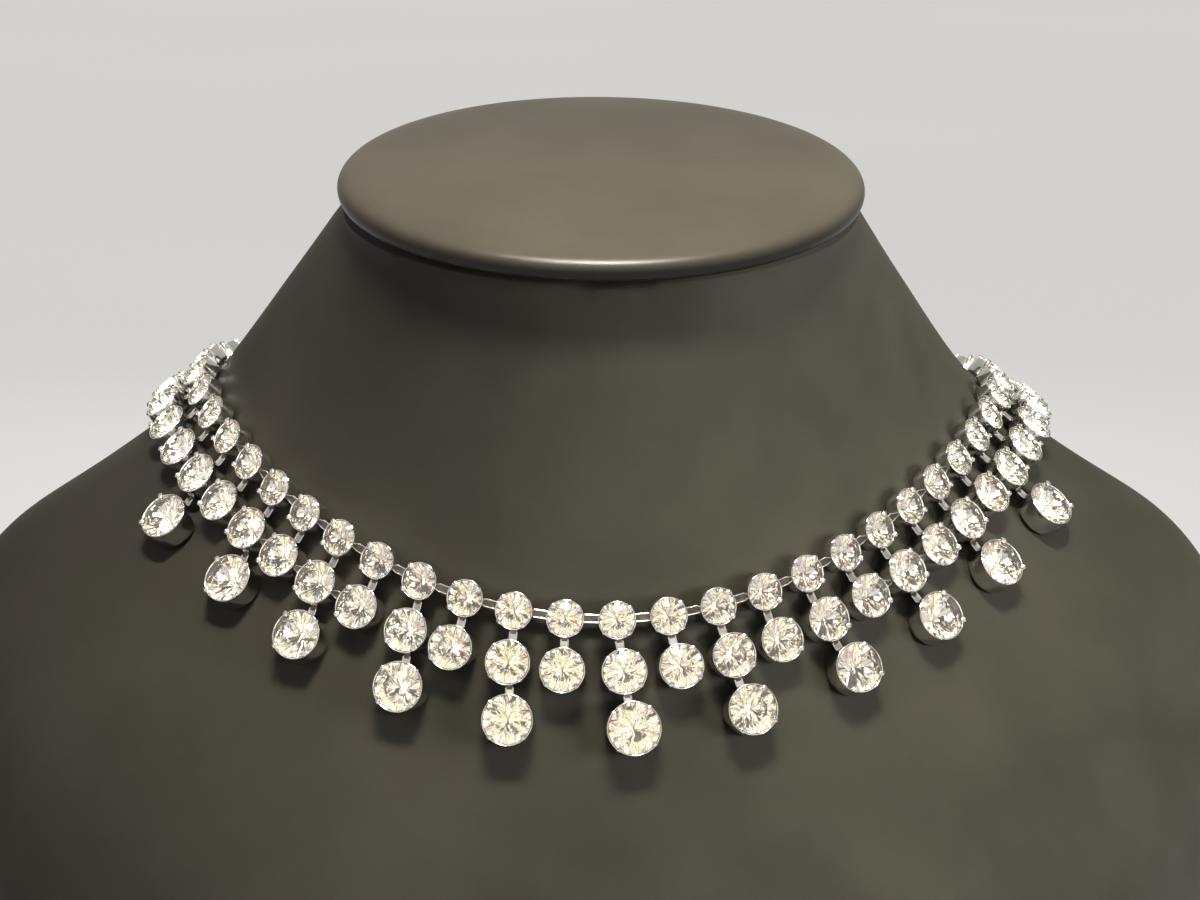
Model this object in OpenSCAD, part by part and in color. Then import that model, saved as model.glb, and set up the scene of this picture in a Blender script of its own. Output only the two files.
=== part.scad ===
// Three-row rhinestone necklace lying on a plain neck bust.
// The origin is the middle of the bust's flat underside, +X is to the right as seen from the front,
// and the front faces -Y. A spot on the bust is [turn, level]: turn in degrees from the middle of
// the front, level counted up the rows of BUST_RINGS.

/* [Rows] */
// Distance between neighbouring stones of the first row
row_pitch = 8.14; // [8.0:0.02:8.2]
// Stones in the first row on each side of the middle one
first_half = 23; // [20:1:23]
// Stones in the second row on each side of the middle one
second_half = 15; // [10:1:16]
// Column from which the second row is linked sideways
linked_from = 5; // [3:1:8]
// Large drops, one under every second column
drops = 11; // [5:2:11]
// Middle of a first row stone to the middle of the stone below it
second_hang = 8.08; // [7.8:0.02:8.6]
// Middle of a second row stone to the middle of the large drop below it
drop_hang = 9; // [8.9:0.1:10]
// How far the whole necklace has slipped round to the right
slip_round = 0.4; // [0:0.2:3]
// How far its right side has slipped down, in levels
slip_down = 0.1; // [0:0.02:0.2]
// How far it is pushed up between the front and the right side, in levels
push_up = 0.06; // [0:0.02:0.1]
// How far the hanging stones lean to the right, in degrees
lean = 2.6; // [0:0.1:8]

/* [Settings] */
// Outer diameter of a first row cup
first_cup_d = 6; // [5.8:0.1:6.2]
// Outer diameter of a second row cup
second_cup_d = 7.2; // [7:0.1:7.4]
// Outer diameter of a large drop's cup
drop_cup_d = 8.15; // [7.8:0.05:8.4]
// Outer diameter of the middle drop's cup
middle_cup_d = 8.6; // [8.2:0.1:8.8]
// Wall of a cup
cup_wall = 0.35; // [0.3:0.05:0.4]
// Width of the strips that join the cups
strip_w = 1.4; // [1.2:0.1:1.5]
// Thickness of those strips
strip_t = 0.5; // [0.4:0.05:0.6]

/* [Clasp] */
// Length of the clasp's barrel
clasp_len = 11; // [8:1:12]
// Diameter of the clasp's barrel
clasp_d = 3.6; // [3:0.2:4]

/* [Cap] */
// Width of the oval cap on the neck
cap_w = 86; // [84:1:90]
// Depth of the oval cap from front to back
cap_depth = 76; // [70:1:77]
// Height of the groove under the cap
cap_groove = 1.6; // [1:0.2:2.4]

/* [Hidden] */
// The bust from its base up. A ring passes through the middle of the front, the widest point at
// each side and the middle of the back.
// Columns: front_y, front_z, side_x, side_y, side_z, back_y, back_z
BUST_RINGS = [
    [-65.6, 0.0, 94.6, 0.2, 0.0, 57.0, 0.0],
    [-65.3, 20.3, 107.2, 5.7, 44.3, 63.4, 35.6],
    [-61.1, 43.4, 112.8, 10.4, 79.9, 65.7, 64.0],
    [-54.8, 65.5, 103.5, 14.6, 102.3, 63.6, 82.5],
    [-49.7, 85.2, 84.5, 18.0, 115.5, 58.0, 98.0],
    [-46.3, 102.6, 66.3, 16.2, 129.3, 48.0, 113.0],
    [-43.1, 127.7, 53.7, 8.3, 146.2, 34.0, 138.9],
    [-43.2, 154.1, 42.9, -7.4, 161.7, 21.4, 170.9]
];
FIRST_LEVEL = 5;
TOP_LEVEL = len(BUST_RINGS) - 1;

// How much further the short drops and the large ones lean, as pairs of column and degrees
SHORT_LEANS = [
    [-4, 4.6],
    [-3, -2.1],
    [-2, 2.0],
    [-1, -0.4],
    [0, 4.3],
    [1, 4.4],
    [2, 2.2],
    [3, -1.2],
    [4, -0.4]
];
DROP_LEANS = [
    [-10, 13.1],
    [-8, 22.0],
    [-6, 12.0],
    [-4, 12.5],
    [-2, 8.0],
    [0, 5.2],
    [2, 2.4],
    [4, 4.2],
    [6, -0.8],
    [8, -10.1],
    [10, -6.4]
];

// Cups
first_cup_h = 3;
second_cup_h = 3.4;
drop_cup_h = 4;
cup_floor = 0.4;
cup_foot = 0.5;
prong_r = 0.4;
prong_inset = 0.35;
prong_rise = 0.45;
post_r = 0.2;
post_inset = 0.12;
post_foot = 0.6;
seat_gap = 0.35;
lay_height = 3;

// Stones
stone_gap = 0.1;
girdle_drop = 0.1;
table_part = 0.53;
crown_part = 0.31;
pavilion_part = 0.86;

// Strips between the cups
strip_z = 0.75;
strip_root = 0.2;
strip_reach = 0.45;
slot_gap = 0.12;
groove_w = 0.7;
groove_depth = 0.2;
horn_w = 2.2;
horn_len = 0.4;

// Fineness of the round forms
bust_sides = 60;
ring_steps = 3;
path_step = 3;
turn_step = 1;
level_step = 0.02;

// Cap, and the rounded edge of the neck under it
boss_inset = 5;
neck_edge_part = 0.975;
neck_edge_h = 0.6;
// Columns: distance in from the outline, height over the lip's underside
CAP_PROFILE = [
    [2.2, 0],
    [0.7, 0.5],
    [0, 1.7],
    [0, 2.9],
    [0.7, 4.0],
    [2.2, 4.8],
    [8, 5.6],
    [18, 6.3],
    [30, 6.8]
];

// Hung stones of the large drops and of the short ones between the linked stretches
drop_half = (drops - 1) / 2;
short_drops = 2 * linked_from - 1;

// Vectors
function unit(v) = v / norm(v);
function square_to(v, n) = unit(v - (v * n) * n);

// A smooth curve through b and c, with a before and d after them
function curve(a, b, c, d, t) =
    0.5 * (2 * b + (c - a) * t + (2 * a - 5 * b + 4 * c - d) * t * t + (3 * b - a - 3 * c + d) * t * t * t);

// The bust's skin
function ring_row(i) = BUST_RINGS[max(0, min(TOP_LEVEL, i))];
function ring_at(level) =
    let (i = floor(level))
    curve(ring_row(i - 1), ring_row(i), ring_row(i + 1), ring_row(i + 2), level - i);
function ring_point(r, turn) =
    let (
        half_y = (r[5] - r[0]) / 2,
        half_z = (r[6] - r[1]) / 2,
        pinch = (r[3] - (r[0] + r[5]) / 2) / 2,
        saddle = (r[4] - (r[1] + r[6]) / 2) / 2
    )
    [
        r[2] * sin(turn),
        r[0] + half_y * (1 - cos(turn)) + pinch * (1 - cos(2 * turn)),
        r[1] + half_z * (1 - cos(turn)) + saddle * (1 - cos(2 * turn))
    ];
function skin(spot) = ring_point(ring_at(spot[1]), spot[0]);
function sideways(spot) = skin(spot + [turn_step, 0]) - skin(spot - [turn_step, 0]);
function downhill(spot) = skin(spot - [0, level_step]) - skin(spot + [0, level_step]);
function outward(spot) = unit(cross(downhill(spot), sideways(spot)));
function above(spot) = skin(spot) + lay_height * outward(spot);

// The first row's path round the neck, as pairs of length and turn, with zero at the front
function path_spot(turn) = [turn, FIRST_LEVEL - slip_down * sin(turn) + push_up * sin(2 * turn)];
PATH_TURNS = [for (turn = [-180 : path_step : 180]) turn];
PATH_POINTS = [for (turn = PATH_TURNS) above(path_spot(turn))];
PATH_SUMS = [
    for (i = 0, sum = 0; i < len(PATH_TURNS); sum = sum + step_length(i), i = i + 1) sum
];
function step_length(i) = i + 1 < len(PATH_POINTS) ? norm(PATH_POINTS[i + 1] - PATH_POINTS[i]) : 0;
path_len = PATH_SUMS[len(PATH_SUMS) - 1];
path_zero = PATH_SUMS[(len(PATH_SUMS) - 1) / 2];
PATH = [for (i = [0 : len(PATH_TURNS) - 1]) [PATH_SUMS[i] - path_zero, PATH_TURNS[i]]];
function spot_along(length) =
    path_spot(lookup(length < -path_zero ? length + path_len : length, PATH));

// Where a stone comes to lie that hangs from the one at spot
function hang_way(spot, leant) =
    let (
        out = outward(spot),
        side = square_to(sideways(spot), out)
    )
    cos(leant) * cross(side, out) + sin(leant) * side;
function settle(spot, target, rounds) =
    rounds == 0 ? spot :
    let (
        left = target - above(spot),
        a = (above(spot + [turn_step, 0]) - above(spot - [turn_step, 0])) / (2 * turn_step),
        b = (above(spot + [0, level_step]) - above(spot - [0, level_step])) / (2 * level_step),
        spread = (a * a) * (b * b) - (a * b) * (a * b),
        move = [(b * b) * (left * a) - (a * b) * (left * b), (a * a) * (left * b) - (a * b) * (left * a)]
    )
    settle(spot + move / spread, target, rounds - 1);
function hung_spot(spot, length, leant) = settle(spot, above(spot) + length * hang_way(spot, leant), 3);
function second_lean(c) = is_linked(c) ? lean : lean + lookup(c, SHORT_LEANS);
function drop_lean(c) = lean + lookup(c, DROP_LEANS);

// A seat is [point under the cup's floor, way up to the row above, way out of the bust]
function seat(spot, up) =
    let (out = outward(spot))
    [skin(spot) + seat_gap * out, square_to(up, out), out];
FIRST_SPOTS = [for (c = [-first_half : first_half]) spot_along(c * row_pitch + slip_round)];
SECOND_SPOTS = [
    for (c = [-second_half : second_half]) hung_spot(FIRST_SPOTS[c + first_half], second_hang, second_lean(c))
];
DROP_SPOTS = [
    for (c = [-2 * drop_half : 2 : 2 * drop_half])
        hung_spot(SECOND_SPOTS[c + second_half], drop_hang, drop_lean(c))
];
FIRST = [for (s = FIRST_SPOTS) seat(s, -downhill(s))];
SECOND = [
    for (i = [0 : len(SECOND_SPOTS) - 1])
        seat(SECOND_SPOTS[i], skin(FIRST_SPOTS[i + first_half - second_half]) - skin(SECOND_SPOTS[i]))
];
DROPS = [
    for (i = [0 : drops - 1])
        seat(DROP_SPOTS[i], skin(SECOND_SPOTS[second_half + 2 * (i - drop_half)]) - skin(DROP_SPOTS[i]))
];
CLASP_SPOT = spot_along(slip_round - path_len / 2);
CLASP = seat(CLASP_SPOT, -downhill(CLASP_SPOT));

function first_seat(c) = FIRST[c + first_half];
function second_seat(c) = SECOND[c + second_half];
function drop_seat(i) = DROPS[i - 1];
function drop_column(i) = 2 * (i - 1 - drop_half);
function drop_number(c) = c / 2 + drop_half + 1;
function drop_d(i) = drop_column(i) == 0 ? middle_cup_d : drop_cup_d;
function has_drop(c) = c % 2 == 0 && abs(c) <= 2 * drop_half;
function is_linked(c) = abs(c) >= linked_from && abs(c) <= second_half;

// Puts a cup or a stone on its seat, with its floor at zero and its own +Y towards the row above
module on_seat(s) {
    x = cross(s[1], s[2]);
    multmatrix([
        [x[0], s[1][0], s[2][0], s[0][0]],
        [x[1], s[1][1], s[2][1], s[0][1]],
        [x[2], s[1][2], s[2][2], s[0][2]],
        [0, 0, 0, 1]
    ])
        children();
}

// Where a strip meets a cup's wall on its way to another seat
function wall_point(s, d, other) = s[0] + strip_z * s[2] + d / 2 * square_to(other[0] - s[0], s[2]);
function span_of(from, to, from_d, to_d) = norm(wall_point(to, to_d, from) - wall_point(from, from_d, to));

// Lays a strip from one cup's wall to another's, with +X along it from zero at the first wall
module between(from, to, from_d, to_d) {
    start = wall_point(from, from_d, to);
    x = unit(wall_point(to, to_d, from) - start);
    z = square_to(from[2] + to[2], x);
    y = cross(z, x);
    multmatrix([
        [x[0], y[0], z[0], start[0]],
        [x[1], y[1], z[1], start[1]],
        [x[2], y[2], z[2], start[2]],
        [0, 0, 0, 1]
    ])
        children();
}

// A strip with raised edges, soldered to the first cup and hooked through the second cup's wall
module strip(from, to, from_d, to_d) {
    end = span_of(from, to, from_d, to_d) + cup_wall + strip_reach;
    between(from, to, from_d, to_d)
        difference() {
            translate([-strip_root, -strip_w / 2, 0])
                cube([strip_root + end, strip_w, strip_t]);
            translate([0, -groove_w / 2, strip_t - groove_depth])
                cube([end + cup_wall, groove_w, strip_t]);
        }
}

// The two small horns of a hanging tab, just under the cup that it hooks into
module horns(from, to, from_d, to_d) {
    end = span_of(from, to, from_d, to_d) - slot_gap;
    between(from, to, from_d, to_d)
        translate([end - horn_len, -horn_w / 2, 0])
            cube([horn_len, horn_w, strip_t]);
}

// The slot in the second cup's wall for that strip
module strip_slot(from, to, from_d, to_d) {
    between(from, to, from_d, to_d)
        translate([span_of(from, to, from_d, to_d) - cup_wall, -strip_w / 2 - slot_gap, -slot_gap])
            cube([3 * cup_wall, strip_w + 2 * slot_gap, strip_t + 2 * slot_gap]);
}

// A closed round cup with four prongs that lean in over the stone's edge
module cup(d, h) {
    difference() {
        union() {
            cylinder(d1 = d - 2 * cup_foot, d2 = d, h = cup_foot, $fn = 48);
            translate([0, 0, cup_foot])
                cylinder(d = d, h = h - cup_foot, $fn = 48);
        }
        translate([0, 0, cup_floor])
            cylinder(d = d - 2 * cup_wall, h = h, $fn = 48);
    }
    for (turn = [45 : 90 : 315])
        rotate([0, 0, turn]) {
            translate([d / 2 - post_inset, 0, h - post_foot])
                cylinder(r = post_r, h = post_foot + prong_rise, $fn = 16);
            translate([d / 2 - prong_inset, 0, h + prong_rise])
                sphere(r = prong_r, $fn = 16);
        }
}

function circle_points(n, r, z) = [for (i = [0 : n - 1]) [r * cos(360 * i / n), r * sin(360 * i / n), z]];

// A cut stone: an eight-sided table, twenty-four crown facets and a pointed back of sixteen
module stone(d, h) {
    r = d / 2 - cup_wall - stone_gap;
    girdle_z = h - girdle_drop;
    table = circle_points(8, r * table_part, girdle_z + r * crown_part);
    girdle = circle_points(16, r, girdle_z);
    polyhedron(
        points = concat(table, girdle, [[0, 0, girdle_z - r * pavilion_part]]),
        faces = concat(
            [[7, 6, 5, 4, 3, 2, 1, 0]],
            [for (i = [0 : 7]) [i, 8 + 2 * i + 1, 8 + 2 * i]],
            [for (i = [0 : 7]) [i, (i + 1) % 8, 8 + 2 * i + 1]],
            [for (i = [0 : 7]) [(i + 1) % 8, 8 + (2 * i + 2) % 16, 8 + 2 * i + 1]],
            [for (i = [0 : 15]) [8 + i, 8 + (i + 1) % 16, 24]]
        )
    );
}

module first_row_settings() {
    color("silver")
        for (c = [-first_half : first_half])
            difference() {
                union() {
                    on_seat(first_seat(c))
                        cup(first_cup_d, first_cup_h);
                    if (c < first_half)
                        strip(first_seat(c), first_seat(c + 1), first_cup_d, first_cup_d);
                }
                if (c > -first_half)
                    strip_slot(first_seat(c - 1), first_seat(c), first_cup_d, first_cup_d);
                if (abs(c) <= second_half)
                    strip_slot(second_seat(c), first_seat(c), second_cup_d, first_cup_d);
                if (abs(c) == first_half)
                    strip_slot(CLASP, first_seat(c), clasp_len, first_cup_d);
            }
}

module first_row_stones() {
    color("white")
        for (s = FIRST)
            on_seat(s)
                stone(first_cup_d, first_cup_h);
}

// One cup of the second row with its tab, its sideways strip and the slots for its neighbours
module second_setting(c) {
    difference() {
        union() {
            on_seat(second_seat(c))
                cup(second_cup_d, second_cup_h);
            strip(second_seat(c), first_seat(c), second_cup_d, first_cup_d);
            horns(second_seat(c), first_seat(c), second_cup_d, first_cup_d);
            if (is_linked(c) && is_linked(c + 1))
                strip(second_seat(c), second_seat(c + 1), second_cup_d, second_cup_d);
        }
        if (is_linked(c) && is_linked(c - 1))
            strip_slot(second_seat(c - 1), second_seat(c), second_cup_d, second_cup_d);
        if (has_drop(c))
            strip_slot(drop_seat(drop_number(c)), second_seat(c), drop_d(drop_number(c)), second_cup_d);
    }
}

module second_stone(c) {
    on_seat(second_seat(c))
        stone(second_cup_d, second_cup_h);
}

module second_row_settings() {
    color("silver")
        for (c = [-second_half : second_half])
            if (is_linked(c))
                second_setting(c);
}

module second_row_stones() {
    color("white")
        for (c = [-second_half : second_half])
            if (is_linked(c))
                second_stone(c);
}

module short_drop_setting(i) {
    color("silver")
        second_setting(i - linked_from);
}

module short_drop_stone(i) {
    color("white")
        second_stone(i - linked_from);
}

module drop_setting(i) {
    holder = second_seat(drop_column(i));
    color("silver") {
        on_seat(drop_seat(i))
            cup(drop_d(i), drop_cup_h);
        strip(drop_seat(i), holder, drop_d(i), second_cup_d);
        horns(drop_seat(i), holder, drop_d(i), second_cup_d);
    }
}

module drop_stone(i) {
    color("white")
        on_seat(drop_seat(i))
            stone(drop_d(i), drop_cup_h);
}

// A plain barrel with a strip to the last cup on each side
module clasp() {
    color("silver") {
        on_seat(CLASP)
            translate([-clasp_len / 2, 0, clasp_d / 2])
                rotate([0, 90, 0])
                    cylinder(d = clasp_d, h = clasp_len, $fn = 32);
        for (side = [-1, 1])
            strip(CLASP, first_seat(side * first_half), clasp_len, first_cup_d);
    }
}

// A closed body through stacked rings of points, lowest first
module rings_body(rings) {
    n = len(rings[0]);
    m = len(rings);
    polyhedron(
        points = [for (r = rings) for (p = r) p],
        faces = concat(
            [[for (i = [0 : n - 1]) i]],
            [for (k = [0 : m - 2]) for (i = [0 : n - 1]) [k * n + i, k * n + n + i, k * n + (i + 1) % n]],
            [for (k = [0 : m - 2]) for (i = [0 : n - 1])
                [k * n + n + i, k * n + n + (i + 1) % n, k * n + (i + 1) % n]],
            [[for (i = [n - 1 : -1 : 0]) (m - 1) * n + i]]
        )
    );
}

// The neck's top plane, which carries the cap
top_ring = BUST_RINGS[TOP_LEVEL];
top_y = (top_ring[0] + top_ring[5]) / 2;
top_z = (top_ring[1] + top_ring[6]) / 2;
top_tilt = atan2(top_ring[6] - top_ring[1], top_ring[5] - top_ring[0]);
top_half = norm([top_ring[5] - top_ring[0], top_ring[6] - top_ring[1]]) / 2;
function oval(half_w, half_d, z) =
    [for (i = [0 : bust_sides - 1])
        [half_w * sin(360 * i / bust_sides), -half_d * cos(360 * i / bust_sides), z]];
function tipped(points) =
    [for (p = points)
        [
            p[0],
            top_y + p[1] * cos(top_tilt) - p[2] * sin(top_tilt),
            top_z + p[1] * sin(top_tilt) + p[2] * cos(top_tilt)
        ]];

module neck_bust() {
    rings = [for (k = [0 : TOP_LEVEL * ring_steps])
        [for (i = [0 : bust_sides - 1]) skin([360 * i / bust_sides, k / ring_steps])]];
    edge = tipped(oval(top_ring[2] * neck_edge_part, top_half * neck_edge_part, neck_edge_h));
    color([0.27, 0.25, 0.23])
        rings_body(concat(rings, [edge]));
}

module neck_cap() {
    lip_z = neck_edge_h + cap_groove;
    boss_z = neck_edge_h + seat_gap;
    half_w = cap_w / 2;
    half_d = cap_depth / 2;
    boss = [for (z = [boss_z, lip_z]) tipped(oval(half_w - boss_inset, half_d - boss_inset, z))];
    plate = [for (p = CAP_PROFILE) tipped(oval(half_w - p[0], half_d - p[0], lip_z + p[1]))];
    color([0.3, 0.28, 0.26])
        rings_body(concat(boss, plate));
}

neck_bust();
neck_cap();
clasp();
first_row_settings();
first_row_stones();
second_row_settings();
second_row_stones();
for (i = [1 : short_drops]) {
    short_drop_setting(i);
    short_drop_stone(i);
}
for (i = [1 : drops]) {
    drop_setting(i);
    drop_stone(i);
}
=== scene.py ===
"""Looks of a three-row rhinestone necklace on a plain neck bust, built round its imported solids.

Everything is in metres in the frame of the solids: the origin is the middle of the bust's flat
underside, +X is to the right as seen from the front, and the front faces -Y.
"""

import math

import bmesh
import bpy
from bpy.props import FloatProperty, FloatVectorProperty, IntProperty, PointerProperty
from mathutils import Matrix, Vector


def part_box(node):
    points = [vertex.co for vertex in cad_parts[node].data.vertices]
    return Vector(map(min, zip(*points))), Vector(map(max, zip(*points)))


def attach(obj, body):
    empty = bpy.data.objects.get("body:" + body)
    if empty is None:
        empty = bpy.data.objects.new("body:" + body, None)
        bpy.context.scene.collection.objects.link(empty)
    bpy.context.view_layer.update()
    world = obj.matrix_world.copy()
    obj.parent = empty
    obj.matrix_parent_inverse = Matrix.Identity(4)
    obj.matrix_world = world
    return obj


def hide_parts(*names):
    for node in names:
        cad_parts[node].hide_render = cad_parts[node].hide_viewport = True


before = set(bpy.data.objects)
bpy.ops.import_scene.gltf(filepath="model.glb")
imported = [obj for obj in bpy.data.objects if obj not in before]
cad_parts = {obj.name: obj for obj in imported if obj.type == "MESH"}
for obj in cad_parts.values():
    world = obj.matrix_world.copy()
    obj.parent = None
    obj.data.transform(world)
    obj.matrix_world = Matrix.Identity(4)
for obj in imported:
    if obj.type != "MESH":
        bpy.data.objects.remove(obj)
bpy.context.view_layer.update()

bl_info = {
    "name": "Rhinestone Necklace",
    "version": (1, 0, 0),
    "blender": (4, 5, 0),
    "location": "3D View > Sidebar > Necklace",
    "description": "Dresses the solids of a rhinestone necklace and of the neck bust under it",
    "category": "Add Mesh",
}

MM = 0.001

# Points closer than WELD are one point. The clasp's rims are found to within RIM_MISS
WELD = 0.0005 * MM
RIM_MISS = 0.025 * MM

# The solids' own sizes that their points don't show
CUP_WALL = 0.35 * MM
CUP_FLOOR = 0.4 * MM
CUP_FOOT = 0.5 * MM
STONE_GAP = 0.1 * MM
EDGE_DROP = 0.1 * MM
EDGE_SIDES = 16
TABLE_SIDES = 8
FIRST_CUP_HEIGHT = 3 * MM
SECOND_CUP_HEIGHT = 3.4 * MM
DROP_CUP_HEIGHT = 4 * MM
STRIP_LEVEL = 0.75 * MM
STRIP_ROOT = 0.2 * MM
STRIP_REACH = 0.45 * MM
CLASP_LENGTH = 11 * MM
CLASP_RADIUS = 1.8 * MM

# Where the looks leave them: a thin rim round each stone, and a stone that fills its cup
RIM_WALL = 0.18 * MM
STONE_SWELL = 0.2 * MM

# A claw's path: (inset, rise) from the rim's outer edge in millimetres, and shares of its
# width and thickness
CLAW_PATH = [
    (-0.02, -1.2, 0.6, 0.5),
    (0.02, -0.6, 0.8, 0.8),
    (0.05, 0.0, 1.0, 1.0),
    (0.0, 0.3, 1.05, 1.15),
    (-0.18, 0.5, 1.1, 1.2),
    (-0.42, 0.55, 1.0, 1.1),
    (-0.62, 0.47, 0.75, 0.8),
    (-0.72, 0.37, 0.35, 0.35),
]

# An ear's path: its place along the tab from the shoulder, its inset from the strip's side and
# its thickness, in millimetres
EAR_PATH = [
    (-0.25, 0.18, 0.17),
    (0.0, 0.17, 0.18),
    (0.12, 0.14, 0.16),
    (0.22, 0.11, 0.11),
    (0.27, 0.1, 0.03),
]

# Grooves round the clasp's barrel, as shares of its length: rings at both ends and the seam
BARREL_GROOVES = (0.09, 0.13, 0.17, 0.5, 0.83, 0.87, 0.91)

# The finishes' places among a piece's materials
PLATED, DULL_AND_SHADE = 0, 1
GLASS, FOIL, WORN = 0, 1, 2

# Columns of the necklace, counted from the middle stone
FIRST_HALF = 23
LINKED_FROM = 5
LINKED_TO = 15
SHORT_DROPS = range(1, 10)
LARGE_DROPS = range(1, 12)


def short_column(number):
    """The column of a numbered short drop."""
    return number - len(SHORT_DROPS) // 2 - 1


def large_column(number):
    """The column of a numbered large drop."""
    return 2 * (number - len(LARGE_DROPS) // 2 - 1)


def is_linked(column):
    """Whether a middle row's cup is linked sideways and is no free drop."""
    return LINKED_FROM <= abs(column) <= LINKED_TO


# Shapes


class Shape:
    """Points and faces gathered for one piece, each face with its own finish."""

    def __init__(self):
        self.points = []
        self.faces = []
        self.finishes = []

    def add(self, points, faces, place, finish=0):
        """Adds points given in a seat's own directions, moved to their place."""
        first = len(self.points)
        self.points += [place @ Vector(p) for p in points]
        self.faces += [[first + i for i in face] for face in faces]
        self.finishes += [finish] * len(faces)

    def piece(self, name, materials, smooth_angle=None):
        """Makes the object. Edges sharper than smooth_angle stay sharp, all of them without it."""
        mesh = bpy.data.meshes.new(name)
        mesh.from_pydata(self.points, [], self.faces)
        for material in materials:
            mesh.materials.append(material)
        mesh.polygons.foreach_set("material_index", self.finishes)
        if smooth_angle is None:
            mesh.shade_flat()
        else:
            mesh.shade_smooth()
            mesh.set_sharp_from_angle(angle=smooth_angle)
        mesh.validate()
        piece = bpy.data.objects.new(name, mesh)
        bpy.context.scene.collection.objects.link(piece)
        return piece


def arc(centre, radius, start, end, steps=6):
    """Points (across, up) on a round stretch, from one angle to another in degrees."""
    x, y = centre
    angles = [math.radians(start + (end - start) * k / steps) for k in range(steps + 1)]
    return [(x + radius * math.cos(a), y + radius * math.sin(a)) for a in angles]


def turned(profile, sides):
    """A closed turned body. The profile is (radius, height) from its lower to its upper middle."""
    bottom, *rings, top = profile
    points = [(0, 0, bottom[1])]
    for radius, height in rings:
        for k in range(sides):
            turn = math.tau * k / sides
            points.append((radius * math.cos(turn), radius * math.sin(turn), height))
    points.append((0, 0, top[1]))
    last = len(points) - 1
    faces = []
    for k in range(sides):
        after = (k + 1) % sides
        faces.append([0, 1 + after, 1 + k])
        for ring in range(len(rings) - 1):
            low = 1 + ring * sides
            faces.append([low + k, low + after, low + sides + after, low + sides + k])
        low = 1 + (len(rings) - 1) * sides
        faces.append([low + k, low + after, last])
    return points, faces


def swept(sections):
    """A closed body through sections with the same number of points each."""
    n = len(sections[0])
    points = [p for section in sections for p in section]
    faces = [list(reversed(range(n)))]
    for s in range(len(sections) - 1):
        for k in range(n):
            after = (k + 1) % n
            faces.append([s * n + k, s * n + after, s * n + n + after, s * n + n + k])
    faces.append([(len(sections) - 1) * n + k for k in range(n)])
    return points, faces


# Seats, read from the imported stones


def islands(node):
    """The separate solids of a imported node, each as its corner points."""
    bm = bmesh.new()
    bm.from_mesh(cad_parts[node].data)
    bmesh.ops.remove_doubles(bm, verts=bm.verts, dist=WELD)
    seen = set()
    found = []
    for start in bm.verts:
        if start in seen:
            continue
        seen.add(start)
        island = [start]
        for vert in island:
            for edge in vert.link_edges:
                other = edge.other_vert(vert)
                if other not in seen:
                    seen.add(other)
                    island.append(other)
        found.append([v.co.copy() for v in island])
    bm.free()
    return found


def middle(points):
    """The mean of some points."""
    return sum(points, Vector()) / len(points)


def square_to(vector, normal):
    """The direction of a vector, made square to a normal."""
    return (vector - vector.dot(normal) * normal).normalized()


class Seat:
    """Where a stone and its cup sit, read from the stone's tip, its edge and its table."""

    def __init__(self, points, cup_height):
        rough = middle(points)
        by_distance = sorted(points, key=lambda p: (p - rough).length)
        edge = by_distance[-EDGE_SIDES:]
        self.edge_middle = middle(edge)
        rest = sorted(by_distance[:-EDGE_SIDES], key=lambda p: (p - self.edge_middle).length)
        self.table, tip = rest[:TABLE_SIDES], rest[TABLE_SIDES]
        self.out = (self.edge_middle - tip).normalized()
        self.stone_radius = (edge[0] - self.edge_middle).length
        self.cup_radius = self.stone_radius + STONE_GAP + CUP_WALL
        self.cup_height = cup_height
        self.foot = self.edge_middle - (cup_height - EDGE_DROP) * self.out
        self.up = None

    def turn_to(self, hint):
        """Sets the seat's own up direction: the table's corner that points nearest to the hint."""
        top = middle(self.table)
        ways = [square_to(p - top, self.out) for p in self.table]
        self.up = max(ways, key=lambda way: way.dot(hint))

    def place(self, origin=None):
        """The matrix that puts a shape here, with its own Y up the row and Z out of the bust."""
        side = self.up.cross(self.out)
        turn = Matrix((side, self.up, self.out)).transposed().to_4x4()
        return Matrix.Translation(self.foot if origin is None else origin) @ turn

    def wall_point(self, other):
        """Where a strip meets this cup's wall on its way to another seat."""
        return (
            self.foot
            + STRIP_LEVEL * self.out
            + self.cup_radius * square_to(other.foot - self.foot, self.out)
        )


def round_the_neck(seats):
    """The seats in their order from the back over the left side to the front and on."""
    return sorted(seats, key=lambda s: math.atan2(s.foot.x, -s.foot.y))


def find_seats():
    """All seats, as dictionaries from a column to its seat."""
    found = [Seat(p, FIRST_CUP_HEIGHT) for p in islands("first_row_stones")]
    first = dict(zip(range(-FIRST_HALF, FIRST_HALF + 1), round_the_neck(found)))
    for column, seat in first.items():
        before = first.get(column - 1, seat)
        after = first.get(column + 1, seat)
        seat.turn_to(seat.out.cross(after.foot - before.foot))
    found = round_the_neck([Seat(p, SECOND_CUP_HEIGHT) for p in islands("second_row_stones")])
    columns = [c for c in range(-LINKED_TO, LINKED_TO + 1) if is_linked(c)]
    second = dict(zip(columns, found))
    for number in SHORT_DROPS:
        (points,) = islands(f"short_drop_stone_{number}")
        second[short_column(number)] = Seat(points, SECOND_CUP_HEIGHT)
    for column, seat in second.items():
        seat.turn_to(first[column].foot - seat.foot)
    drops = {}
    for number in LARGE_DROPS:
        (points,) = islands(f"drop_stone_{number}")
        seat = Seat(points, DROP_CUP_HEIGHT)
        column = large_column(number)
        seat.turn_to(second[column].foot - seat.foot)
        drops[column] = seat
    return first, second, drops


FIRST, SECOND, DROPS = find_seats()


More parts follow.
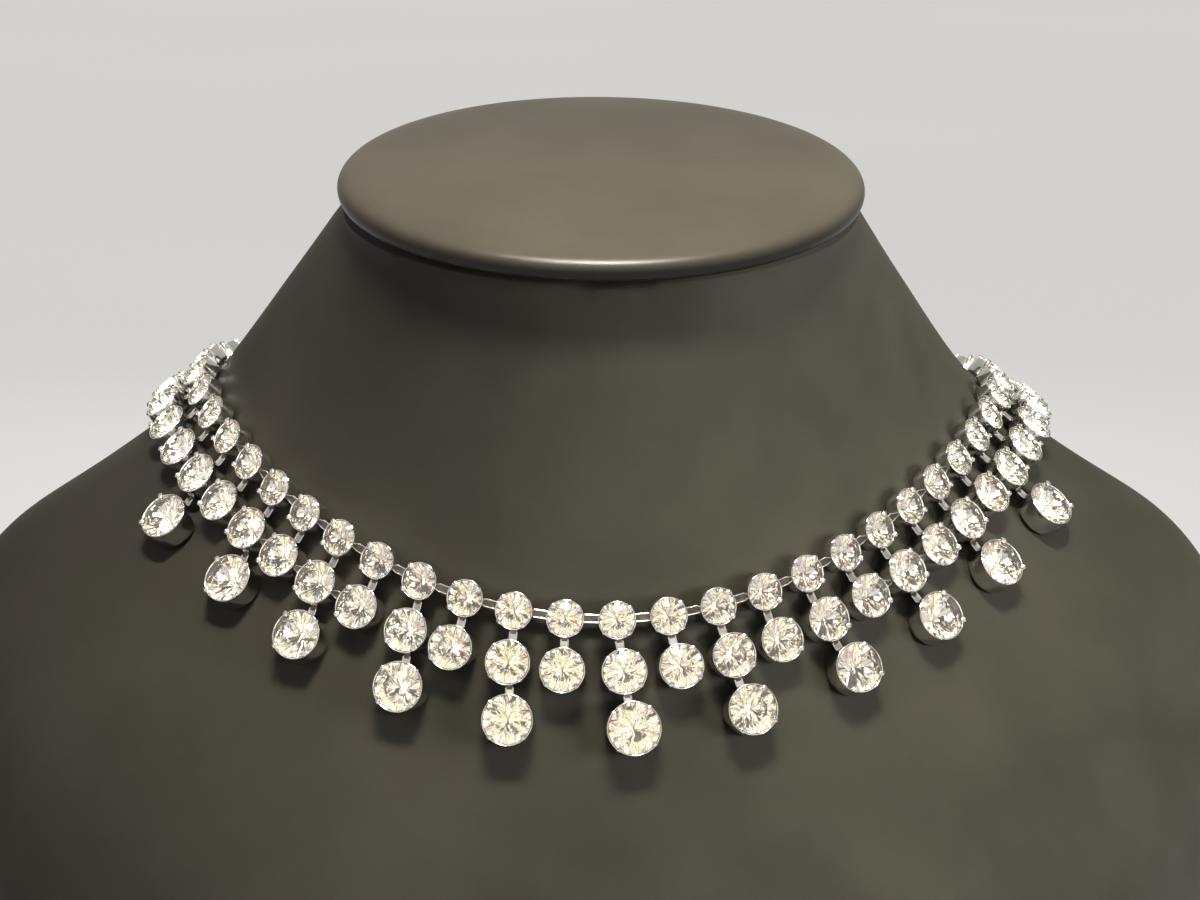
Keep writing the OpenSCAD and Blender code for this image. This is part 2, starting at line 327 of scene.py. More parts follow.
class Barrel(Seat):
    """Where the clasp sits: a seat between the last two cups with its wall at its ends."""

    def __init__(self):
        one, other = FIRST[FIRST_HALF], FIRST[-FIRST_HALF]
        way = other.foot - one.foot
        rough = sum(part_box("clasp"), Vector()) / 2
        reach = math.hypot(CLASP_LENGTH / 2, CLASP_RADIUS)
        (points,) = islands("clasp")
        rims = [p for p in points if abs((p - rough).length - reach) < RIM_MISS]
        start = middle([p for p in rims if (p - rough).dot(way) < 0])
        end = middle([p for p in rims if (p - rough).dot(way) > 0])
        self.axis = (end - start).normalized()
        self.out = square_to(one.out + other.out, self.axis)
        self.centre = middle(rims)
        self.foot = self.centre - CLASP_RADIUS * self.out
        self.cup_radius = CLASP_LENGTH / 2

    def lengthwise(self):
        """The matrix that lays a turned shape's own Z along the barrel, from one end."""
        one_end = self.centre - CLASP_LENGTH / 2 * self.axis
        return strip_place(one_end, self.centre, self.out) @ Matrix.Rotation(math.pi / 2, 4, "Y")


# Settings and stones


def cup_profile(radius, height):
    """A cup's wall from its underside over the rounded rim to its floor inside."""
    half = RIM_WALL / 2
    foot = arc((radius - CUP_FOOT, CUP_FOOT), CUP_FOOT, -90, 0)
    rim = arc((radius - half, height - half), half, 0, 180)
    return [(0, 0), *foot, *rim, (radius - RIM_WALL, CUP_FLOOR), (0, CUP_FLOOR)]


def claw_sections(radius, height, look):
    """A claw that stands in the wall and is bent over the stone's edge, as ovals on its path."""
    sections = []
    for k, (inset, rise, wide, thick) in enumerate(CLAW_PATH):
        before = CLAW_PATH[max(k - 1, 0)]
        after = CLAW_PATH[min(k + 1, len(CLAW_PATH) - 1)]
        along = Vector((after[0] - before[0], after[1] - before[1])).normalized()
        section = []
        for turn in range(look.claw_sides):
            angle = math.tau * turn / look.claw_sides
            across = wide * look.claw_width / 2 * math.sin(angle)
            depth = thick * look.claw_thickness / 2 * math.cos(angle)
            section.append(
                (
                    radius + inset * MM + depth * along.y,
                    -across,
                    height + rise * MM - depth * along.x,
                )
            )
        sections.append(section)
    return sections


def add_cup(shape, seat, look):
    """A closed round cup with its four claws."""
    points, faces = turned(cup_profile(seat.cup_radius, seat.cup_height), look.cup_sides)
    shape.add(points, faces, seat.place())
    points, faces = swept(claw_sections(seat.cup_radius, seat.cup_height, look))
    for quarter in range(4):
        turn = Matrix.Rotation(math.radians(45 + 90 * quarter), 4, "Z")
        shape.add(points, faces, seat.place() @ turn)


def barrel_profile():
    """The clasp's barrel: round ends, fine rings near both and the seam between its two halves."""
    bend = 0.4 * MM
    groove = 0.13 * MM
    profile = [(0, 0), *arc((CLASP_RADIUS - bend, bend), bend, -90, 0, 5)]
    for place in BARREL_GROOVES:
        height = place * CLASP_LENGTH
        profile += [
            (CLASP_RADIUS, height - groove),
            (CLASP_RADIUS - groove, height),
            (CLASP_RADIUS, height + groove),
        ]
    profile += arc((CLASP_RADIUS - bend, CLASP_LENGTH - bend), bend, 0, 90, 5)
    return [*profile, (0, CLASP_LENGTH)]


def strip_outline(look):
    """A strip's cross-section: a flat back and two round raised edges beside a shallow channel."""
    half = look.strip_width / 2
    bead = look.strip_bead
    top = look.strip_thickness
    bevel = 0.1 * MM
    return [
        (half, bevel),
        *arc((half - bead, top - bead), bead, 0, 180),
        (half - 2 * bead, look.strip_channel),
        (2 * bead - half, look.strip_channel),
        *arc((bead - half, top - bead), bead, 0, 180),
        (-half, bevel),
        (bevel - half, 0),
        (half - bevel, 0),
    ]


def straight(outline, ends):
    """A closed straight body with an outline (across, up), from one length to the other."""
    return swept([[(x, y, z) for y, z in outline] for x in ends])


def strip_place(start, end, out):
    """The matrix that lays a strip from one point to another."""
    along = (end - start).normalized()
    up = square_to(out, along)
    side = up.cross(along)
    return Matrix.Translation(start) @ Matrix((along, side, up)).transposed().to_4x4()


def add_link(shape, holder, held, look):
    """The strip between two linked cups, soldered to one and hooked into the other."""
    start = held.wall_point(holder)
    end = holder.wall_point(held)
    place = strip_place(start, end, holder.out + held.out)
    ends = (-STRIP_ROOT, (end - start).length + CUP_WALL + STRIP_REACH)
    points, faces = straight(strip_outline(look), ends)
    height = look.strip_channel + WELD
    inner = look.strip_width / 2 - look.strip_bead

    def in_channel(face):
        return all(points[i][2] < height and abs(points[i][1]) < inner for i in face)

    shape.add(points, [f for f in faces if not in_channel(f)], place, PLATED)
    shape.add(points, [f for f in faces if in_channel(f)], place, DULL_AND_SHADE)


def add_tab(shape, holder, held, look):
    """A hanging cup's tab: a broad part with two ears, and a tongue hooked into the cup above,
    painted dark as shade.
    """
    start = held.wall_point(holder)
    end = holder.wall_point(held)
    span = (end - start).length
    top = max(span - look.tab_gap, look.tab_gap)
    place = strip_place(start, end, holder.out + held.out)
    points, faces = straight(strip_outline(look), (-STRIP_ROOT, top))
    shape.add(points, faces, place)
    half = look.tongue_width / 2
    low = 0.2 * look.strip_thickness
    high = 0.7 * look.strip_thickness
    tongue = [(half, low), (half, high), (-half, high), (-half, low)]
    ends = (top - STRIP_ROOT, span + CUP_WALL + STRIP_REACH)
    points, faces = straight(tongue, ends)
    # Painted shade: the tongue under the cup above gets the dark dull finish.
    shape.add(points, faces, place, DULL_AND_SHADE)
    for side in (-1, 1):
        add_ear(shape, place, top, side, look)


def add_ear(shape, place, top, side, look):
    """One of the two small ears at a tab's upper corners."""
    level = 0.6 * look.strip_thickness
    stretch = 1.3
    sections = []
    for along, inset, thick in EAR_PATH:
        across = look.strip_width / 2 - inset * MM
        section = []
        for turn in range(look.claw_sides):
            angle = side * math.tau * turn / look.claw_sides
            section.append(
                (
                    top + along * MM,
                    side * (across + thick * MM * math.cos(angle)),
                    level + stretch * thick * MM * math.sin(angle),
                )
            )
        sections.append(section)
    points, faces = swept(sections)
    shape.add(points, faces, place)


def stone_cut(radius, look):
    """A round cut stone with its edge at height zero: points, crown faces and back faces."""
    n = TABLE_SIDES
    slope = look.crown_height / (1 - look.table_share)
    half_step = math.cos(math.pi / n)

    def ring(size, height, sides, offset=0.0):
        return [
            (
                radius * size * math.cos(math.tau * (k + offset) / sides),
                radius * size * math.sin(math.tau * (k + offset) / sides),
                radius * height,
            )
            for k in range(sides)
        ]

    star_height = slope * (1 - look.star_share * half_step)
    low_height = look.back_depth * (look.low_share * half_step - 1)
    points = [
        *ring(look.table_share, look.crown_height, n),
        *ring(look.star_share, star_height, n, 0.5),
        *ring(1, look.edge_thickness / 2, 2 * n),
        *ring(1, -look.edge_thickness / 2, 2 * n),
        *ring(look.low_share, low_height, n, 0.5),
        (0, 0, -look.back_depth * radius),
    ]
    table, star, edge, under, low, tip = 0, n, 2 * n, 4 * n, 6 * n, 7 * n
    crown = [[table + k for k in range(n)]]
    back = []
    for k in range(n):
        after = (k + 1) % n
        crown.append([table + k, star + k, table + after])
        crown.append([table + k, star + (k - 1) % n, edge + 2 * k, star + k])
        crown.append([star + k, edge + 2 * k, edge + 2 * k + 1])
        crown.append([star + k, edge + 2 * k + 1, edge + 2 * after])
        back.append([tip, low + k, under + 2 * k, low + (k - 1) % n])
        back.append([low + k, under + 2 * k + 1, under + 2 * k])
        back.append([low + k, under + 2 * after, under + 2 * k + 1])
    for k in range(2 * n):
        after = (k + 1) % (2 * n)
        crown.append([edge + k, under + k, under + after, edge + after])
    return points, crown, back


def bordered(points, faces, border):
    """Each face cut into a smaller one and a border of that width round it, in its own plane."""
    deepest = 0.45
    more = [Vector(p) for p in points]
    inner = []
    borders = []
    for face in faces:
        corners = [more[i] for i in face]
        centre = middle(corners)
        first = len(more)
        for before, corner, after in zip(corners[-1:] + corners, corners, corners[1:] + corners):
            one = (before - corner).normalized()
            other = (after - corner).normalized()
            step = border / math.sin(one.angle(other) / 2)
            inwards = (one + other).normalized()
            more.append(corner + min(step, deepest * (centre - corner).length) * inwards)
        n = len(face)
        inner.append([first + k for k in range(n)])
        for k in range(n):
            after = (k + 1) % n
            borders.append([face[k], face[after], first + after, first + k])
    return more, inner, borders


def add_stone(shape, seat, look):
    """A cut stone: clear glass, mirror foil on its back and dark lines where its facets meet."""
    place = seat.place(seat.edge_middle)
    points, crown, back = stone_cut(seat.stone_radius + STONE_SWELL, look)
    shape.add(points, crown, place, GLASS)
    points, facets, lines = bordered(points, back, look.line_width)
    shape.add(points, facets, place, FOIL)
    shape.add(points, lines, place, WORN)


# Materials


def feed(node, values):
    """Sets a node's inputs. Values are (input, value or the output of another node)."""
    for name, value in values:
        if isinstance(value, bpy.types.NodeSocket):
            node.id_data.links.new(value, node.inputs[name])
        else:
            node.inputs[name].default_value = value


def add_node(tree, kind, values=(), **settings):
    """Adds a node with its settings and inputs."""
    node = tree.nodes.new(kind)
    for name, value in settings.items():
        setattr(node, name, value)
    feed(node, values)
    return node


def new_material(name):
    """A material with its node tree, its shader and the place on the object as a texture place."""
    material = bpy.data.materials.new(name)
    material.use_nodes = True
    tree = material.node_tree
    spot = add_node(tree, "ShaderNodeTexCoord").outputs["Object"]
    return material, tree, tree.nodes["Principled BSDF"], spot


def noise(tree, spot, feature, detail=3.0, roughness=0.5):
    """A noise with features of about that size, from 0 to 1."""
    node = add_node(
        tree,
        "ShaderNodeTexNoise",
        [("Vector", spot), ("Scale", 1 / feature), ("Detail", detail), ("Roughness", roughness)],
    )
    return node.outputs["Fac"]


def spread(tree, value, low, high, start=0.3, end=0.7):
    """Maps a value between start and end to the range from low to high."""
    limits = [("From Min", start), ("From Max", end), ("To Min", low), ("To Max", high)]
    return add_node(tree, "ShaderNodeMapRange", [("Value", value), *limits]).outputs["Result"]


def shades(tree, value, stops):
    """A colour for each value. Stops are (value, colour)."""
    node = add_node(tree, "ShaderNodeValToRGB", [("Fac", value)])
    ramp = node.color_ramp
    while len(ramp.elements) < len(stops):
        ramp.elements.new(0.5)
    for element, (position, tone) in zip(ramp.elements, stops):
        element.position = position
        element.color = (*tone[:3], 1)
    return node.outputs["Color"]


def mixed(tree, share_of_second, first, second):
    """A mix of two colours, each a colour or a node's output."""
    node = add_node(tree, "ShaderNodeMix", [("Factor", share_of_second)], data_type="RGBA")
    colours = [k for k, socket in enumerate(node.inputs) if socket.type == "RGBA"]
    for k, value in zip(colours, (first, second)):
        if not isinstance(value, bpy.types.NodeSocket):
            value = (*value[:3], 1)
        feed(node, [(k, value)])
    return next(socket for socket in node.outputs if socket.type == "RGBA")


def bumps(tree, height, depth):
    """A normal from a height of 0 to 1 that stands for that depth."""
    values = [("Height", height), ("Distance", depth), ("Strength", 1.0)]
    return add_node(tree, "ShaderNodeBump", values).outputs["Normal"]


def times(tone, factor):
    """A colour made darker or lighter."""
    return tuple(c * factor for c in tone[:3])


def plating(look):
    """Bright white plating, with faint wipe marks and a little tarnish between the cups."""
    material, tree, shader, spot = new_material("bright_plating")
    cloudy = noise(tree, spot, 4 * MM)
    fine = noise(tree, spot, 0.35 * MM, detail=4)
    tarnish = shades(
        tree,
        cloudy,
        [
            (0.32, times(look.plating_colour, 0.78)),
            (0.5, look.plating_colour),
            (0.7, times(look.plating_colour, 1.04)),
        ],
    )
    feed(
        shader,
        [
            ("Base Color", tarnish),
            ("Metallic", 1.0),
            ("Roughness", spread(tree, fine, look.shine, look.shine + 0.1)),
            ("Normal", bumps(tree, fine, 0.006 * MM)),
        ],
    )
    return material


def dull_plating_and_shade(look):
    """The strips' channels, where the plating is dull and has darkened, and the tabs' tongues,
    painted dark as shade under the cups above.
    """
    material, tree, shader, spot = new_material("dull_plating_and_shade")
    cloudy = noise(tree, spot, 1.2 * MM)
    dark = times(look.channel_and_shade_colour, 0.6)
    tint = shades(tree, cloudy, [(0.35, dark), (0.65, look.channel_and_shade_colour)])
    feed(
        shader,
        [
            ("Base Color", tint),
            ("Metallic", 1.0),
            ("Roughness", spread(tree, cloudy, 0.28, 0.42)),
        ],
    )
    return material


def crystal(look):
    """Clear cut glass, a little warm in places."""
    material, tree, shader, spot = new_material("clear_crystal")
    cloudy = noise(tree, spot, 9 * MM, detail=1)
    tint = shades(tree, cloudy, [(0.35, look.glass_colour), (0.65, look.warm_glass_colour)])
    smudge = noise(tree, spot, 1.5 * MM)
    feed(
        shader,
        [
            ("Base Color", tint),
            ("Transmission Weight", 1.0),
            ("IOR", look.refraction),
            ("Roughness", spread(tree, smudge, 0.0, 0.02, 0.45, 0.8)),
        ],
    )
    return material


def foil(look):
    """The mirror foil on the back of each stone, with warm and rosy patches and a faint painted
    glow from within.
    """
    material, tree, shader, spot = new_material("stone_foil")
    patch = noise(tree, spot, 2.2 * MM, detail=1)
    tint = shades(
        tree,
        patch,
        [
            (0.3, look.rosy_foil_colour),
            (0.42, look.foil_colour),
            (0.6, look.foil_colour),
            (0.74, look.warm_foil_colour),
        ],
    )
    grain = noise(tree, spot, 0.8 * MM)
    feed(
        shader,
        [
            ("Base Color", tint),
            ("Metallic", 1.0),
            ("Roughness", spread(tree, grain, 0.02, 0.07)),
            # Painted light: the foil glows faintly in its own tint, which lightens the stones'
            # dark facets.
            ("Emission Color", tint),
            ("Emission Strength", look.painted_foil_glow),
        ],
    )
    return material


def worn_foil(look):
    """The dark lines in the foil where two facets meet."""
    material, tree, shader, spot = new_material("worn_foil")
    patch = noise(tree, spot, 1.1 * MM)
    tint = shades(tree, patch, [(0.38, times(look.line_colour, 0.5)), (0.62, look.line_colour)])
    feed(shader, [("Base Color", tint), ("Metallic", 0.7), ("Roughness", 0.35)])
    return material


def satin_paint(name, tone, satin, gloss, look, painted_shade_below=False):
    """Dark satin paint: faint mottling, a fine orange-peel surface and rubbed patches.

    It can also paint shade: darker the more the surface leans down, as under the cap's edge.
    """
    material, tree, shader, spot = new_material(name)
    mottle = noise(tree, spot, 28 * MM, detail=5, roughness=0.6)
    peel = noise(tree, spot, look.grain_size, detail=2)
    rubbed = noise(tree, spot, 9 * MM, detail=6, roughness=0.65)
    stops = [(0.3, times(tone, 0.82)), (0.5, tone), (0.72, times(tone, 1.22))]
    tint = shades(tree, mottle, stops)
    if painted_shade_below:
        facing = add_node(tree, "ShaderNodeNewGeometry").outputs["Normal"]
        upward = add_node(tree, "ShaderNodeSeparateXYZ", [("Vector", facing)]).outputs["Z"]
        # Painted shade: the paint is darker the more the surface faces down, down to a tenth of
        # its tone.
        tint = mixed(tree, spread(tree, upward, 0, 1, -0.1, 0.95), times(tone, 0.1), tint)
    feed(
        shader,
        [
            ("Base Color", tint),
            ("Roughness", spread(tree, rubbed, satin - 0.01, satin + 0.015)),
            ("Specular IOR Level", gloss),
            ("Normal", bumps(tree, peel, look.grain_depth)),
        ],
    )
    return material


MADE = {}


def once(name, maker, *given):
    """Makes a shared material the first time that it is asked for."""
    if name not in MADE:
        MADE[name] = maker(*given)
    return MADE[name]


def looks():
    """All the settings, as the panel shows them."""
    return bpy.context.scene.rhinestone_necklace


def metal_materials():
    """The two metal finishes: bright plating, and dull plating that also stands for painted shade
    on the tabs' tongues.
    """
    look = looks().metal
    return [once("plating", plating, look), once("dull", dull_plating_and_shade, look)]


def stone_materials():
    """The finishes GLASS, FOIL and WORN."""
    look = looks().stone
    makers = {"crystal": crystal, "foil": foil, "worn": worn_foil}
    return [once(name, maker, look) for name, maker in makers.items()]


# Putting the pieces on the frame


def settle_piece(piece, slot, *nodes):
    """The piece rides on the one body and stands for its nodes, which it hides. The slot is not
    used.
    """
    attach(piece, "root")
    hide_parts(*nodes)


def make_settings(name, node, seats, tabs, links=()):
    """Cups with their tabs and links as one piece, each given as (holder, held)."""
    look = looks().metal
    shape = Shape()
    for seat in seats:
        add_cup(shape, seat, look)
    for holder, held in tabs:
        add_tab(shape, holder, held, look)
    for holder, held in links:
        add_link(shape, holder, held, look)
    piece = shape.piece(name, metal_materials(), look.smooth_angle)
    settle_piece(piece, "metal", node)


def make_stones(name, node, seats):
    """Cut stones as one piece."""
    shape = Shape()
    for seat in seats:
        add_stone(shape, seat, looks().stone)
    piece = shape.piece(name, stone_materials())
    settle_piece(piece, "stone", node)


def smooth_skin(name, node, material, crease_angle, levels, relaxed=0):
    """A smooth copy of a faceted node. Edges sharper than crease_angle, in degrees, are kept."""
    flat = math.radians(0.05)
    paired = math.radians(60)
    crease_from = math.radians(crease_angle)
    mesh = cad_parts[node].data.copy()
    mesh.name = name
    mesh.materials.clear()
    mesh.materials.append(material)
    bm = bmesh.new()
    bm.from_mesh(mesh)
    bmesh.ops.remove_doubles(bm, verts=bm.verts, dist=WELD)
    bmesh.ops.dissolve_limit(bm, angle_limit=flat, verts=bm.verts, edges=bm.edges)
    triangles = [f for f in bm.faces if len(f.verts) == 3]
    bmesh.ops.join_triangles(
        bm, faces=triangles, angle_face_threshold=paired, angle_shape_threshold=math.pi
    )
    crease = bm.edges.layers.float.new("crease_edge")
    for edge in bm.edges:
        if edge.calc_face_angle(0) > crease_from:
            edge[crease] = 1
    bm.to_mesh(mesh)
    bm.free()
    piece = bpy.data.objects.new(name, mesh)
    bpy.context.scene.collection.objects.link(piece)
    modifier = piece.modifiers.new("rounded", "SUBSURF")
    modifier.levels = modifier.render_levels = levels
    if relaxed:
        modifier = piece.modifiers.new("relaxed", "SMOOTH")
        modifier.factor = 0.5
        modifier.iterations = relaxed
    mesh.shade_smooth()
    return piece


# Properties


def distance(name, description, default):
    """A length, in metres."""
    return FloatProperty(
        name=name,
        description=description,
        default=default,
        min=0,
        unit="LENGTH",
        subtype="DISTANCE",
        precision=5,
    )


def degrees(name, description, default):
    """An angle with its default in degrees."""
    return FloatProperty(
        name=name, description=description, default=math.radians(default), subtype="ANGLE"
    )


def share(name, description, default):
    """A number from 0 to 1."""
    return FloatProperty(
        name=name, description=description, default=default, min=0, max=1, subtype="FACTOR"
    )


def strength(name, description, default):
    """A number from 0 up."""
    return FloatProperty(
        name=name, description=description, default=default, min=0, subtype="UNSIGNED"
    )


def power(name, description, default):
    """A light's power, in watts."""
    return FloatProperty(name=name, description=description, default=default, min=0, unit="POWER")


def count(name, description, default, least, most):
    """A whole number."""
    return IntProperty(
        name=name,
        description=description,
        default=default,
        min=least,
        max=most,
        subtype="UNSIGNED",
    )


def colour(name, description, default):
    """A colour, as linear red, green and blue."""
    return FloatVectorProperty(
        name=name, description=description, default=default, min=0, max=1, subtype="COLOR"
    )


class MetalLook(bpy.types.PropertyGroup):
    """The cups, claws and strips"""

    plating_colour: colour("Plating", "Colour of the plated metal", (0.86, 0.85, 0.83))
    # The channel colour is also painted shade on the tabs' tongues.
    channel_and_shade_colour: colour("Channel", "Colour of the strips' dull channels", (0.2, 0.185, 0.16))
    shine: share("Roughness", "Lowest roughness of the plating", 0.08)
    cup_sides: count("Cup sides", "Sides of a cup's round wall", 48, 16, 64)
    claw_sides: count("Claw sides", "Sides of a claw's oval", 10, 6, 16)
    claw_width: distance("Claw width", "Width of a claw", 0.8 * MM)
    claw_thickness: distance("Claw thickness", "Thickness of a claw", 0.5 * MM)
    strip_width: distance("Strip width", "Width of the strips between the cups", 1.4 * MM)
    strip_thickness: distance("Strip thickness", "Thickness of the strips", 0.5 * MM)
    strip_bead: distance("Strip bead", "Radius of a strip's raised edges", 0.11 * MM)
    strip_channel: distance("Strip channel", "Height of the channel's floor", 0.24 * MM)
    tab_gap: distance("Tab gap", "From a tab's broad part to the cup above it", 0.5 * MM)
    tongue_width: distance("Tongue width", "Width of a tab's tongue", 0.9 * MM)
    smooth_angle: degrees("Smooth angle", "Edges sharper than this stay sharp", 35)


class StoneLook(bpy.types.PropertyGroup):
    """The cut stones"""

    glass_colour: colour("Glass", "Colour of the clear glass", (0.985, 0.985, 0.98))
    warm_glass_colour: colour("Warm glass", "Its warmer patches", (0.99, 0.97, 0.92))
    foil_colour: colour("Foil", "Colour of the foil behind the stones", (0.96, 0.935, 0.88))
    warm_foil_colour: colour("Warm foil", "Its golden patches", (0.95, 0.86, 0.68))
    rosy_foil_colour: colour("Rosy foil", "Its rosy patches", (0.94, 0.79, 0.74))
    line_colour: colour("Lines", "Colour of the lines in the foil", (0.1, 0.08, 0.07))
    line_width: distance("Line width", "Width of half a line between facets", 0.026 * MM)
    # The foil's glow is painted light that lightens the stones from within.
    painted_foil_glow: share("Foil glow", "How much the foil lights up the stone from within", 0.06)
    refraction: FloatProperty(
        name="Refraction",
        description="Refractive index of the glass",
        default=1.58,
        min=1,
        max=2.5,
    )
    table_share: share("Table", "The table's radius as a share of the stone's", 0.53)
    star_share: share("Star points", "Radius of the star facets' points, as a share", 0.76)
    low_share: share("Low points", "Radius where the back's long facets begin, as a share", 0.3)
    crown_height: share("Crown", "Height of the crown, as a share of the radius", 0.31)
    back_depth: share("Back", "Depth of the pointed back, as a share of the radius", 0.86)
    edge_thickness: share("Edge", "Thickness of the stone's edge, as a share", 0.04)


class BustLook(bpy.types.PropertyGroup):
    """The neck bust and its cap"""

    body_colour: colour("Bust", "Colour of the bust", (0.0227, 0.0217, 0.017))
    cap_colour: colour("Cap", "Colour of the cap", (0.0395, 0.035, 0.0252))
    body_satin: share("Bust roughness", "Middle roughness of the bust's paint", 0.46)
    body_gloss: share("Bust gloss", "Strength of the bust's reflections", 0.03)
    cap_satin: share("Cap roughness", "Middle roughness of the cap's paint", 0.34)
    cap_gloss: share("Cap gloss", "Strength of the cap's reflections", 0.24)
    grain_size: distance("Grain", "Size of the paint's fine grain", 0.7 * MM)
    grain_depth: distance("Grain depth", "Depth of that grain", 0.012 * MM)
    cap_relaxed: count("Cap smoothing", "Times that the cap is smoothed", 12, 0, 40)
    rounding: count("Rounding", "Times that the faceted skin is rounded", 2, 0, 3)


class StageLook(bpy.types.PropertyGroup):
    """The floor, the lights and the camera"""

    floor_colour: colour("Floor", "Colour of the floor", (0.62, 0.61, 0.59))
    floor_glow: share("Floor glow", "How much the floor shines by itself", 0.95)
    floor_matt: share("Floor matt", "How much of other light the floor sends back", 0.2)
    floor_size: distance("Floor size", "Length of the floor's sides", 9.0)
    key_power: power("Key light", "Power of the main light", 0.42)
    right_power: power("Right light", "Power of the large light at the right", 26)
    left_power: power("Left light", "Power of the weak light from the left", 4.5)
    back_power: power("Back light", "Power of the weak light from behind", 3.5)
    key_colour: colour("Key colour", "Colour of the main light", (1, 0.93, 0.82))
    left_colour: colour("Left colour", "Colour of the light from the left", (0.87, 0.77, 1))
    side_colour: colour("Sides", "Colour of the sky outside its middle front", (1, 0.98, 0.92))
    sky_strength: strength("Sky in stones", "The middle front's strength in the stones", 1.4)
    side_strength: strength("Sides in stones", "The other sky's strength in the stones", 4.2)
    front_shine: strength("Front on metal", "The middle front's strength on shiny things", 1.0)
    sky_shine: strength("Back on metal", "The strength behind the bust on shiny things", 0.6)
    side_shine: strength("Sides on metal", "The strength at the sides on shiny things", 0.35)
    sky_shade: strength("Sky on matt things", "The whole sky's strength on matt things", 0.15)
    horizon_colour: colour("Horizon", "Colour of the light from low down", (0.9, 0.84, 0.7))
    camera_distance: distance("Camera distance", "From the camera to what it aims at", 592 * MM)
    camera_angle: degrees("Camera angle", "How far the camera looks down", 10.61)
    camera_turn: degrees("Camera turn", "How far it stands to the left of the front", 3.19)
    camera_aim: FloatVectorProperty(
        name="Camera aim",
        description="What the middle of the picture shows",
        default=(-2.33 * MM, -50 * MM, 130.23 * MM),
        subtype="TRANSLATION",
        precision=4,
    )
    camera_lens: FloatProperty(
        name="Lens",
        description="Focal length on a 36 mm sensor, in millimetres",
        default=115,
        unit="CAMERA",
    )


class NecklaceLooks(bpy.types.PropertyGroup):
    """All the sizes and colours of the necklace's looks"""

    metal: PointerProperty(type=MetalLook)
    stone: PointerProperty(type=StoneLook)
    bust: PointerProperty(type=BustLook)
    stage: PointerProperty(type=StageLook)


# Operators


class MakeBust(bpy.types.Operator):
    """Dress the neck bust in dark satin paint"""

    bl_idname = "necklace.make_bust"
    bl_label = "Neck Bust"

    def execute(self, context):
        look = looks().bust
        paint = satin_paint("bust_paint", look.body_colour, look.body_satin, look.body_gloss, look)
        piece = smooth_skin("bust_skin", "neck_bust", paint, 40, look.rounding)
        settle_piece(piece, "bust", "neck_bust")
        return {"FINISHED"}


class MakeCap(bpy.types.Operator):
    """Dress the oval plate on top of the neck"""

    bl_idname = "necklace.make_cap"
    bl_label = "Neck Cap"

    def execute(self, context):
        look = looks().bust
        # The cap's paint has painted shade where it faces down, under its lip.
        paint = satin_paint(
            "cap_paint", look.cap_colour, look.cap_satin, look.cap_gloss, look, painted_shade_below=True
        )
        piece = smooth_skin("cap_plate", "neck_cap", paint, 180, look.rounding, look.cap_relaxed)
        settle_piece(piece, "cap", "neck_cap")
        return {"FINISHED"}


class MakeFirstRow(bpy.types.Operator):
    """Make the inner row's linked cups and their stones"""

    bl_idname = "necklace.make_first_row"
    bl_label = "First Row"

    def execute(self, context):
        links = [(FIRST[c + 1], FIRST[c]) for c in range(-FIRST_HALF, FIRST_HALF)]
        make_settings("first_row_cups", "first_row_settings", FIRST.values(), [], links)
        make_stones("first_row_crystals", "first_row_stones", FIRST.values())
        return {"FINISHED"}


class MakeSecondRow(bpy.types.Operator):
    """Make the middle row's linked cups at both sides and their stones"""

    bl_idname = "necklace.make_second_row"
    bl_label = "Second Row"

    def execute(self, context):
        linked = {c: seat for c, seat in SECOND.items() if is_linked(c)}
        tabs = [(FIRST[c], seat) for c, seat in linked.items()]
        links = [(SECOND[c + 1], SECOND[c]) for c in linked if is_linked(c + 1)]
        make_settings("second_row_cups", "second_row_settings", linked.values(), tabs, links)
        make_stones("second_row_crystals", "second_row_stones", linked.values())
        return {"FINISHED"}


class MakeShortDrops(bpy.types.Operator):
    """Make the middle row's free hanging stones at the front"""

    bl_idname = "necklace.make_short_drops"
    bl_label = "Short Drops"

    def execute(self, context):
        for number in SHORT_DROPS:
            column = short_column(number)
            seat = SECOND[column]
            tabs = [(FIRST[column], seat)]
            make_settings(f"short_drop_cup_{number}", f"short_drop_setting_{number}", [seat], tabs)
            make_stones(f"short_drop_crystal_{number}", f"short_drop_stone_{number}", [seat])
        return {"FINISHED"}


class MakeLargeDrops(bpy.types.Operator):
    """Make the large drops under every second stone"""

    bl_idname = "necklace.make_large_drops"
    bl_label = "Large Drops"

    def execute(self, context):
        for number in LARGE_DROPS:
            column = large_column(number)
            seat = DROPS[column]
            tabs = [(SECOND[column], seat)]
            make_settings(f"drop_cup_{number}", f"drop_setting_{number}", [seat], tabs)
            make_stones(f"drop_crystal_{number}", f"drop_stone_{number}", [seat])
        return {"FINISHED"}


class MakeClasp(bpy.types.Operator):
    """Make the barrel clasp at the back of the neck"""

    bl_idname = "necklace.make_clasp"
    bl_label = "Clasp"

    def execute(self, context):
        look = looks().metal
        barrel = Barrel()
        shape = Shape()
        points, faces = turned(barrel_profile(), look.cup_sides)
        shape.add(points, faces, barrel.lengthwise())
        for column in (-FIRST_HALF, FIRST_HALF):
            add_link(shape, FIRST[column], barrel, look)
        piece = shape.piece("clasp_barrel", metal_materials(), look.smooth_angle)
        settle_piece(piece, "metal", "clasp")
        return {"FINISHED"}


def aim(thing, spot, target):
    """Places a light or the camera so that it looks at the target."""
    thing.location = spot
    thing.rotation_mode = "QUATERNION"
    thing.rotation_quaternion = (Vector(target) - Vector(spot)).to_track_quat("-Z", "Y")


